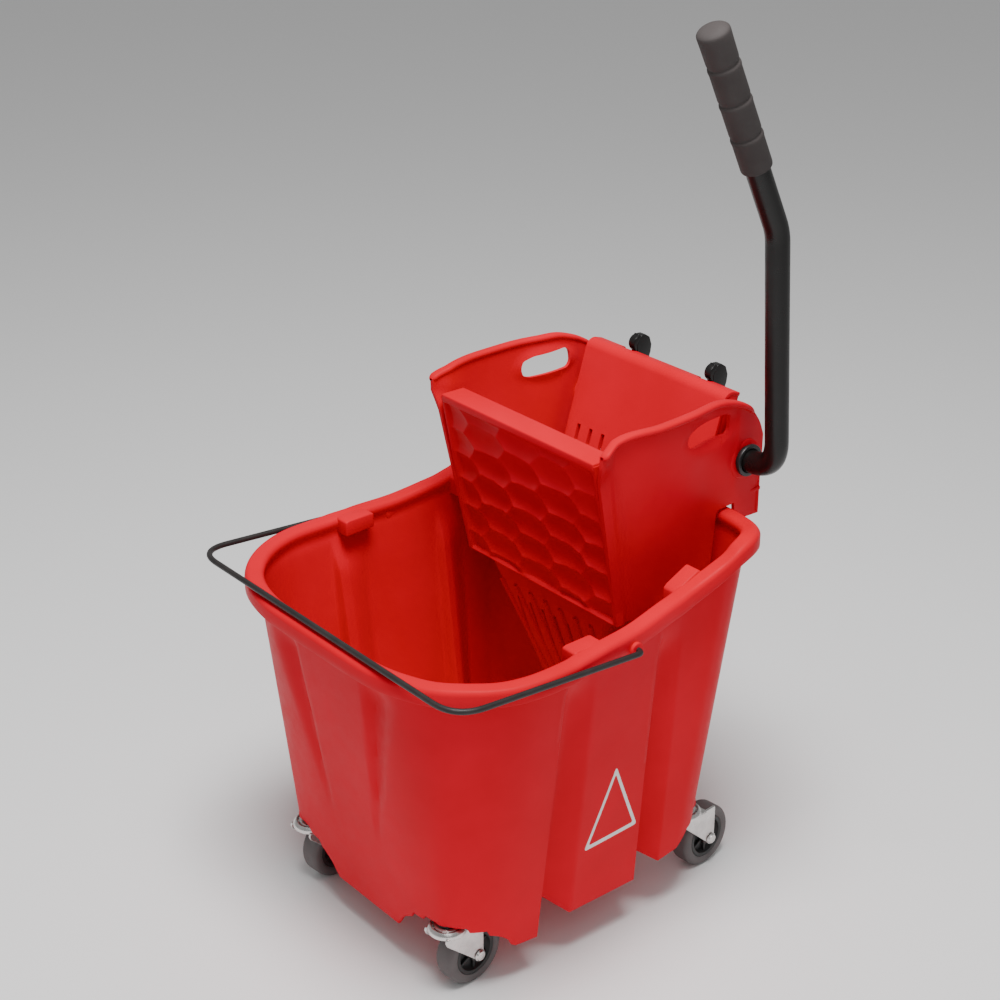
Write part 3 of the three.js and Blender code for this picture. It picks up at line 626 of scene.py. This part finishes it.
def side_wall():
    ys = np.unique(np.concatenate([np.linspace(-10, 226, 110), [28, 148, 153, 156, 158, 204, 209]]))
    rows = 56
    low, high = along(WALL_LOW, ys), spline(WALL_TOP, ys)
    z = low[None, :] + (high - low)[None, :] * np.linspace(0, 1, rows)[:, None]
    y = np.broadcast_to(ys, z.shape)
    x = side_x(y, z)
    outer = np.stack([x, y, z], 2)
    inner = np.stack([x - 4, y, z], 2)
    sheets = two_sheets(outer, inner)
    hole = [(116, 506), (165, 508), (169, 513), (168, 527), (163, 531), (121, 529), (108, 525), (105, 517),
            (108, 509)]
    window = eased(slab(hole, 100, 150, 0), 3.2, 3, 12)
    shaft_hole = bar("x", SHAFT_HOLE_R, 90, 160, SHAFT, 64, 0)
    pin_hole = bar("x", PIN_HOLE_R, 90, 160, PIVOT, 32, 0)
    return carved(sheets, window, shaft_hole, pin_hole)


def rolled_lip():
    """Rounded bead along the top of a side wall."""
    ys = np.concatenate([np.linspace(-12, -8, 4), np.linspace(-6, 204, 90)])
    zs = spline(WALL_TOP, ys)
    loops = []
    for y, z in zip(ys, zs):
        x = float(side_x(np.array(y), np.array(z)))
        grow = smooth((y + 14) / 8) * (0.35 + 0.65 * smooth((208 - y) / 12))
        a = np.linspace(0, 2 * math.pi, 20, endpoint=False)
        wide, tall = 5.2 * grow, 3.4 * grow
        loops.append(np.stack([x - 0.6 + wide * np.sign(np.cos(a)) * np.abs(np.cos(a)) ** 0.7,
                               np.full(20, max(y, -10)), z - 1.6 + tall * np.sign(np.sin(a))
                               * np.abs(np.sin(a)) ** 0.8], 1))
    return skin(loops)


def relief(x, s):
    """Depth of the scale pattern, 0 to 1, where s runs up the panel.

    Shallow bowls, a little off a staggered grid, meet in sharp ridges.
    """
    q = np.full(np.broadcast(x, s).shape, 9.0)
    for i in range(-3, 4):
        for j in range(-1, 8):
            cx = -57 + 54.0 * i + 4 * math.sin(2.1 * i + 3.7 * j)
            cs = -6 + 31 * j + (15.5 if i % 2 else 0) + 2 * math.sin(1.3 * i + 5.1 * j)
            q = np.minimum(q, ((x - cx) / 34) ** 2 + ((s - cs) / 18.5) ** 2)
    return np.clip(1.06 - q, 0, 1) ** 0.8


def front_panel():
    """Thick leaning panel: scale relief outside, plain inside, flat top."""
    xs = np.linspace(-PANEL_HALF, PANEL_HALF, 190)
    zs = np.linspace(PANEL_LOW, PANEL_TOP - 3, 150)
    x, z = np.meshgrid(xs, zs)
    front = np.interp(z, [PANEL_LOW, PANEL_TOP], PANEL_FRONT)
    back = np.interp(z, [PANEL_LOW, PANEL_TOP], PANEL_BACK)
    fade = smooth((115.5 - np.abs(x)) / 6) * smooth((PANEL_TOP - 4 - z) / 9) * smooth((z - PANEL_LOW) / 4)
    depth = 6.2 - 2.6 * smooth((z - 430) / 70)
    front = front + depth * fade * relief(x, z - PANEL_LOW)
    return two_sheets(np.stack([x, front, z], 2), np.stack([x, back, z], 2))


def top_cap():
    """Smooth cap that rounds the front panel's top edges."""
    return eased(slab([(-7.3, 512), (-8.2, PANEL_TOP), (21.3, PANEL_TOP), (20.6, 512)], -117, 117, 0), 1.6, 4)


def wringer():
    wall = side_wall()
    lip = rolled_lip()
    floor = carved(block(-115, 115, 32, 112, 335, 339, 0),
                   *[block(-103 + 24 * k, -89 + 24 * k, 44, 100, 330, 345, 0) for k in range(9)])
    hook = block(-116, 116, 203.5, 226, 428, 432, 0.8)
    tie = eased(slab([(222, 404), (226, 401), (226, 492), (222, 494)], -115, 115, 0), 1.0)
    bracket = block(112, 173, 86, 104, 334.3, 339, 1.0)
    rib = slab([(88, 338), (102, 338), (96, 362)], 114, 119, 0.6)
    ear = carved(bar("x", 11, 109, 117, PIVOT), bar("x", PIN_HOLE_R, 90, 130, PIVOT, 32, 0))
    collar = carved(bar("x", 21, 112, 122, SHAFT, 72, 1.4), bar("x", SHAFT_HOLE_R, 90, 140, SHAFT, 64, 0))
    shape = merge(both(wall), both(lip), front_panel(), top_cap(), eased(floor, 0.5), hook, tie,
                  both(bracket), both(rib), both(ear), both(collar))
    place("wringer_housing", "wringer", RED, shape, ["wringer_frame"])


def hopper():
    """Drain funnel under the chamber, ribbed outside and slotted in front."""
    def ring(hx, y0, y1, z, r=9, inset=0.0):
        pts = []
        corners = ((hx - r, y1 - r, 0), (r - hx, y1 - r, 90), (r - hx, y0 + r, 180), (hx - r, y0 + r, 270))
        for cx, cy, a0 in corners:
            for a in np.radians(np.linspace(a0, a0 + 90, 7)):
                pts.append((cx + (r - inset) * math.cos(a), cy + (r - inset) * math.sin(a), z))
        return pts
    stack = [(66, 84, 132, 190), (86, 42, 140, 310), (103.5, 38.5, 140.5, 334.5)]

    def at(f, inset):
        k = min(int(f * 2), 1)
        w = f * 2 - k
        a, b = stack[k], stack[k + 1]
        return ring(*[p + (q - p) * w for p, q in zip(a, b)], inset=inset)
    up = [at(f, 0) for f in np.linspace(0, 1, 25)]
    down = [at(f, 3) for f in np.linspace(1, 0, 25)]
    body = skin(up + down, wrap=True)
    slots = [block(-62 + 20 * k, -58 + 20 * k, 20, 112, 215, 292, 0) for k in range(7)]
    body = carved(body, *slots, bar("x", 12, -140, 140, PIVOT, 48, 0))
    ribs = []
    for k in range(7):
        top_x = -80 + 24 * k
        low_x = min(-46 + 16 * k, 58)
        ribs.append(tube([(low_x, 84.6, 192), ((low_x + top_x) / 2, 63.6, 250), (top_x, 42.8, 309)], 3.4, 16))
    place("drain_funnel", "wringer", RED, merge(body, *ribs), ["drain_hopper"])


def plate_point(u, n):
    s, c = math.sin(PLATE_LEAN), math.cos(PLATE_LEAN)
    return PIVOT[0] + u * s + n * c, PIVOT[1] + u * c - n * s


def plate_slab(corners, x0, x1, edge):
    return slab([plate_point(u, n) for u, n in corners], x0, x1, edge)


def press_plate():
    section = [(0, -7), (196, -7)]
    section += [(196 + 11 * math.sin(a), 4 - 11 * math.cos(a)) for a in np.linspace(0.15, math.pi / 2, 9)]
    section += [(207, 13.2), (206.2, 14), (203.8, 14), (203, 13.2), (203, 4)]
    section += [(196 + 7 * math.sin(a), 4 - 6 * math.cos(a)) for a in np.linspace(1.3, 0.1, 7)]
    section += [(194, -2.2), (0, -1.6)]
    skin_shape = plate_slab(section, -PLATE_HALF, PLATE_HALF, 0.8)
    slots = []
    for u in (60, 96):
        for k in range(10):
            x = -85.5 + 19 * k
            if abs(abs(x) - 38) > 5 and abs(abs(x) - 76) > 5:
                opening = ((u, -9), (u + 18, -9), (u + 18, 1), (u, 1))
                slots.append(plate_slab(opening, x - 2.5, x + 2.5, 0))
    # the rolled edge is notched where the crank noses come down over it
    notch = ((200, 7.2), (210, 7.2), (210, 17), (200, 17))
    notches = [plate_slab(notch, x - 9, x + 9, 0) for x in (-ARM_X, ARM_X)]
    face = carved(skin_shape, *slots, *notches)
    rib = ((2, -2), (203, -2), (203, 7), (8, 7))
    ribs = [plate_slab(rib, x - 1.9, x + 1.9, 0.5) for x in (-98, -76, -38, 0, 38, 76, 98)]
    cross = [plate_slab(((c, -2), (c + 3, -2), (c + 3, 6), (c, 6)), -103, 103, 0.5)
             for c in (44, 86, 124, 164)]
    pad = ((110, -2), (203, -2), (203, 7), (110, 7))
    pads = [plate_slab(pad, x - 9, x + 9, 0.8) for x in (-ARM_X, ARM_X)]
    end = ((150, -2), (206, -2), (206.6, 13.4), (196, 13.4), (180, 7), (150, 5))
    ends = [plate_slab(end, x - 1.6, x + 1.6, 0.7) for x in (-102, 102)]
    barrel = carved(bar("x", 8, -PLATE_HALF, PLATE_HALF, PIVOT),
                    bar("x", PIN_HOLE_R, -120, 120, PIVOT, 32, 0))
    place("squeeze_plate", "press_plate", RED,
          merge(face, *ribs, *cross, *pads, *ends, barrel),
          ["press_plate"])


# ---------------------------------------------------------------- lever, shaft and cranks
def lever():
    end = GRIP_LOW + (GRIP_TOP - GRIP_LOW) * 116 / np.linalg.norm(GRIP_TOP - GRIP_LOW)
    path = bent_path([(96, *SHAFT), (LEVER_X, *SHAFT), (LEVER_X, 175.6, 724.4), end], [35, 60], 26)
    place("lever_bar", "lever", BLACK_PAINT, tube(path, 12.0, 44), ["lever_tube"])


def grip():
    """Four stepped sleeves with a domed top, along the leaning end of the lever."""
    length = float(np.linalg.norm(GRIP_TOP - GRIP_LOW))
    section = length / 4
    profile = [(12.4, 0.8), (14.0, 0), (15.0, 0.8), (15.3, 2.2)]
    for k in range(1, 4):
        z = k * section
        profile += [(15.3, z - 7), (15.8, z - 3.5), (15.5, z - 1.6), (14.9, z - 0.9), (14.4, z),
                    (14.5, z + 1.2), (15.0, z + 2.4), (15.3, z + 4)]
    profile += [(15.6, length - 13), (15.8, length - 7)]
    profile += [(15.8 * math.cos(a) ** 0.8, length - 6.2 + 6 * math.sin(a))
                for a in np.linspace(0.2, 1.45, 8)]
    lean = math.degrees(math.atan2(GRIP_LOW[1] - GRIP_TOP[1], GRIP_TOP[2] - GRIP_LOW[2]))
    shape = move(turn(turned(profile, 64), "X", lean), GRIP_LOW)
    place("hand_grip", "lever", GRIP, shape, ["lever_grip"])


def shaft_and_bushes():
    place("cross_shaft", "lever", STEEL,
          bar("x", 9.6, -128, 120, SHAFT, 56, 0.8), ["torque_shaft"])
    place("hinge_rod", "wringer", STEEL,
          bar("x", 4, -118, 118, PIVOT, 32, 0.8), ["plate_hinge_pin"])
    bush = turned([(12.5, 108), (13.6, 108), (14, 108.6), (14, 125.2), (14.6, 125.4), (16.4, 125.4),
                   (17, 126), (17, 128), (16.4, 128.8), (15.2, 129), (13.2, 129), (12.5, 128.4)], 64,
                  wrap=True)
    gap = block(100, 140, SHAFT[0] + 2, SHAFT[0] + 30, SHAFT[1] - 2.6, SHAFT[1] + 2.6, 0)
    bush = move(turn(bush, "Y", 90), (0, *SHAFT))
    place("split_bush", "wringer", BLACK_PLASTIC, carved(bush, gap), ["shaft_bush"])
    cap = turned([(10, -108), (13.4, -108), (14, -108.6), (14, -131), (13.4, -133.6), (11.6, -134.8),
                  (9, -135),
                  (8.6, -133.8), (3, -133.6)], 64)
    hollowed = carved(move(turn(cap, "Y", 90), (0, *SHAFT)), bar("x", 10, -130, -100, SHAFT, 48, 0))
    place("end_cap", "wringer", BLACK_PLASTIC, hollowed, ["shaft_cap"])


def cranks():
    nose_y, nose_z = SHAFT[0] + ARM_R * math.sin(ARM_LEAN), SHAFT[1] + ARM_R * math.cos(ARM_LEAN)
    profile = [(184, 484), (206, 484), (215, 503), (221, 520), (225, 531), (226, 539), (223, 548), (217, 552),
               (212, 552.5), (nose_y, nose_z + 7), (nose_y - 5, nose_z - 1), (nose_y - 4, nose_z - 8),
               (206, 530),
               (203, 521), (199, 512), (190, 497)]
    for side, x in (("right", ARM_X), ("left", -ARM_X)):
        arm = slab(profile, x - 5, x + 5, 1.2)
        hub = bar("x", 17, x - 8, x + 8, SHAFT, 56, 1.2)
        nose = carved(bar("x", 9, x - 4.5, x + 4.5, (nose_y, nose_z), 44, 1.4),
                      slab([(nose_y + 1, nose_z - 4), (nose_y + 20, nose_z - 9), (nose_y + 20, nose_z + 2),
                            (nose_y + 1, nose_z + 3.6)], x - 9, x + 9, 0))
        claw = slab([(nose_y - 5, nose_z + 5), (nose_y - 1, nose_z + 10.5), (nose_y + 3, nose_z + 7.5)],
                    x - 3.5, x + 3.5, 0.8)
        screw = turned([(4.4, 0), (4.4, 2.2), (3.6, 3.2), (1, 3.4)], 24)
        screw = move(screw, (x, SHAFT[0], SHAFT[1] + 16.4))
        hub = carved(hub, bar("x", 9.7, x - 20, x + 20, SHAFT, 48, 0))
        place(f"crank_{side}", "lever", BLACK_PAINT, merge(hub, arm, nose, claw, screw),
              [f"crank_arm_{side}"])


def springs():
    for side, x0, x1 in (("right", ARM_X + 12, ARM_X + 34), ("left", -ARM_X - 34, -ARM_X - 12)):
        a = np.linspace(0, 6 * math.pi, 150)
        path = np.stack([np.linspace(x0, x1, len(a)), SHAFT[0] + 13.5 * np.sin(a),
                         SHAFT[1] + 13.5 * np.cos(a)], 1)
        points, radii = dome_ends(path, 1.4)
        place(f"coil_spring_{side}", "wringer", STEEL, tube(points, radii, 14),
              [f"return_spring_{side}"])


# ---------------------------------------------------------------- casters
def caster(place_name, x, y):
    def put(shape):
        return move(turn(shape, "Z", TRAIL_TURN), (x, y, 0))

    def wheel(profile, wrap):
        return put(move(turn(turned(profile, 72, wrap), "Y", 90), (0, TRAIL, WHEEL_R)))

    half = WHEEL_W / 2
    socket = turned([(5.4, 80.4), (9.9, 80.4), (10.5, 81), (10.5, 82.6), (10, 83.2), (8, 83.2), (8, 102.6),
                     (7.2, 104), (2, 104)], 48)
    stem = turned([(2, 66.4), (6.2, 66.4), (7, 67.4), (7, 70.6), (6.4, 71.2), (4.5, 71.2), (4.5, 76),
                   (12, 76), (13.4, 76.8), (13.8, 77.6), (13.2, 78.8), (11.4, 79.6), (5, 80.1), (5, 99),
                   (3.5, 101), (1, 101)], 48)
    arc = [(28.5 + 6.4 * math.cos(a), 35 + 6.6 * math.sin(a)) for a in np.radians(np.linspace(-20, -150, 9))]
    leg = [(-15, 73.9), (-16, 70), (-14.5, 66), *arc[::-1], (34, 40), (34, 72), (33, 73.9)]
    legs = [slab(leg, FORK_IN, FORK_OUT, 0.7), slab(leg, -FORK_OUT, -FORK_IN, 0.7)]
    crown = turned([(5.5, CROWN), (19, CROWN), (19.5, CROWN + 0.6), (19.5, 75.2), (19.1, 76.4), (17.6, 78.2),
                    (16.8, 79), (15.9, 79), (15.2, 78.2), (15, 75), (14.2, 74), (5.5, 74)], 64, wrap=True)
    deck = eased(skin([[(sx * 16.5, sy, z) for sx, sy in ((-1, -10), (1, -10), (1, 20), (-1, 20))]
                       for z in (CROWN, 74)]), 0.6)
    deck = carved(deck, bar("z", 5.5, 60, 90, (0, 0), 32, 0))
    ball = turned([(0.3, -1.4), (1.1, -1.0), (1.5, 0), (1.1, 1.0), (0.3, 1.4)], 12)
    balls = [move(ball, (14.3 * math.cos(a), 14.3 * math.sin(a), 75.9))
             for a in np.linspace(0, 2 * math.pi, 18, endpoint=False)]
    fork = merge(*legs, crown, deck, *balls)
    a = np.linspace(0, math.pi / 2, 7)
    tread_half = [(WHEEL_R - 5.5 + 5.5 * math.sin(t), half - 5.5 + 5.5 * math.cos(t)) for t in a]
    side = [(HUB_R + 0.3, half - 1.2), (HUB_R + 2.5, half - 0.2), *tread_half, (WHEEL_R, 2.6)]
    tread = side + [(r, -w) for r, w in reversed(side)]
    hub_side = [(8, half + 1), (8, 7), (8.8, 5.6), (17.2, 5.2), (18.6, 6.2), (20.3, half - 1.4),
                (21.2, half - 1),
                (HUB_R - 0.4, half - 1), (HUB_R, half - 1.4)]
    hub = [(4.4, half + 1), *hub_side, *[(r, -w) for r, w in reversed(hub_side)], (4.4, -half - 1)]
    spokes = []
    for k in range(6):
        angle = 60 * k
        spoke = block(7, 20, -1.3, 1.3, 4.6, 8.6, 0.6)
        for side in (1, -1):
            s = spoke if side > 0 else (spoke[0] * (1, 1, -1), [tuple(reversed(f)) for f in spoke[1]])
            spokes.append(put(move(turn(turn(s, "Z", angle), "Y", 90), (0, TRAIL, WHEEL_R))))
    bolt = merge(bar("x", 4, -22.4, 17.6, (TRAIL, WHEEL_R), 32),
                 bar("x", 6.5, FORK_OUT + 0.3, FORK_OUT + 3.4, (TRAIL, WHEEL_R), 40, 0.9, 5.2))
    nut = eased(move(turn(turned([(7, -21.5), (7, -16.8)], 6), "Y", 90), (0, TRAIL, WHEEL_R)), 0.6)
    nut = carved(nut, bar("x", AXLE_HOLE_R, -40, 0, (TRAIL, WHEEL_R), 32, 0))
    fork_body, wheel_body = f"fork_{place_name}", f"wheel_{place_name}"
    place(f"socket_{place_name}", "bucket", BLACK_PLASTIC, put(socket),
          [f"caster_socket_{place_name}"])
    place(f"stem_{place_name}", "bucket", ZINC, put(stem), [f"caster_stem_{place_name}"])
    place(f"fork_plate_{place_name}", fork_body, ZINC, put(fork), [f"caster_fork_{place_name}"])
    place(f"tyre_{place_name}", wheel_body, TREAD, wheel(tread, True),
          [f"wheel_tread_{place_name}"])
    place(f"hub_{place_name}", wheel_body, BLACK_PLASTIC,
          merge(wheel(hub, True), *spokes), [f"wheel_hub_{place_name}"])
    place(f"bolt_{place_name}", fork_body, ZINC, put(bolt), [f"axle_bolt_{place_name}"])
    place(f"nut_{place_name}", fork_body, ZINC, put(nut), [f"axle_nut_{place_name}"])


bucket()
plain_triangle()
bail()
wringer()
hopper()
press_plate()
lever()
grip()
shaft_and_bushes()
cranks()
springs()
for place_name, (caster_x, caster_y) in PLACES.items():
    caster(place_name, caster_x, caster_y)


# ---------------------------------------------------------------- floor, light and camera
def studio():
    mesh = bpy.data.meshes.new("floor")
    half = 14.0
    mesh.from_pydata([(-half, -half, 0), (half, -half, 0), (half, half, 0), (-half, half, 0)], [],
                     [(0, 1, 2, 3)])
    floor = bpy.data.objects.new("floor", mesh)
    bpy.context.scene.collection.objects.link(floor)
    material = bpy.data.materials.new("pale_floor")
    material.use_nodes = True
    shader = material.node_tree.nodes["Principled BSDF"]
    shader.inputs["Base Color"].default_value = (0.90, 0.90, 0.90, 1)
    shader.inputs["Roughness"].default_value = 0.8
    shader.inputs["Specular IOR Level"].default_value = 0.1
    mesh.materials.append(material)
    world = bpy.data.worlds.new("studio")
    world.use_nodes = True
    world.node_tree.nodes["Background"].inputs["Color"].default_value = (1, 1, 1, 1)
    world.node_tree.nodes["Background"].inputs["Strength"].default_value = 0.36
    bpy.context.scene.world = world
    for name, spot, aim, width, power in (
            ("overhead", (0.45, -0.35, 2.4), (0, -0.05, 0.2), 0.9, 70),
            ("key", (1.6, -1.0, 1.9), (0, 0, 0.4), 1.2, 5),
            ("fill", (-1.2, -2.6, 1.5), (0, 0, 0.4), 2.0, 1)):
        light = bpy.data.lights.new(name, "AREA")
        light.size = width
        light.energy = power
        lamp = bpy.data.objects.new(name, light)
        lamp.location = spot
        lamp.rotation_euler = (Vector(aim) - Vector(spot)).to_track_quat("-Z", "Y").to_euler()
        bpy.context.scene.collection.objects.link(lamp)


def camera():
    data = bpy.data.cameras.new("camera")
    data.sensor_width = 36
    data.lens = 71.85
    obj = bpy.data.objects.new("camera", data)
    obj.location = (1.39766, -1.15090, 1.27852)
    obj.rotation_euler = Euler((math.radians(65.27), 0, math.radians(50.79)))
    bpy.context.scene.collection.objects.link(obj)
    bpy.context.scene.camera = obj


studio()
camera()
